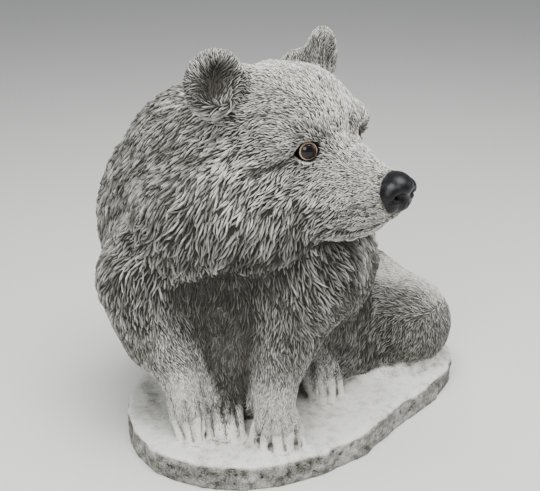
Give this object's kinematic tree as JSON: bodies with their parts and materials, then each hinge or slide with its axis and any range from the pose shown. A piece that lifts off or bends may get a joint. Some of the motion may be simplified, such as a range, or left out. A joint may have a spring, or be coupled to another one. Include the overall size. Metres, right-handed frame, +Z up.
{
  "type": "garden statue",
  "caption": "Cast stone garden raccoon crouching on an oval slab, head turned to one side, with glossy set-in eyes.",
  "frame": {"origin": "middle of the slab's length and width on its underside", "axes": "+Z up, +X along the slab towards the rump, -Y towards the side the face looks over"},
  "size_m": [0.2936, 0.2175, 0.2949],
  "materials": {
    "cast_stone": "matte, dark wash in the fur, black painted nose",
    "eye_glass": "glossy"
  },
  "bodies": {
    "root": {"raccoon": "cast_stone", "eye_left": "eye_glass", "eye_right": "eye_glass"}
  },
  "joints": []
}
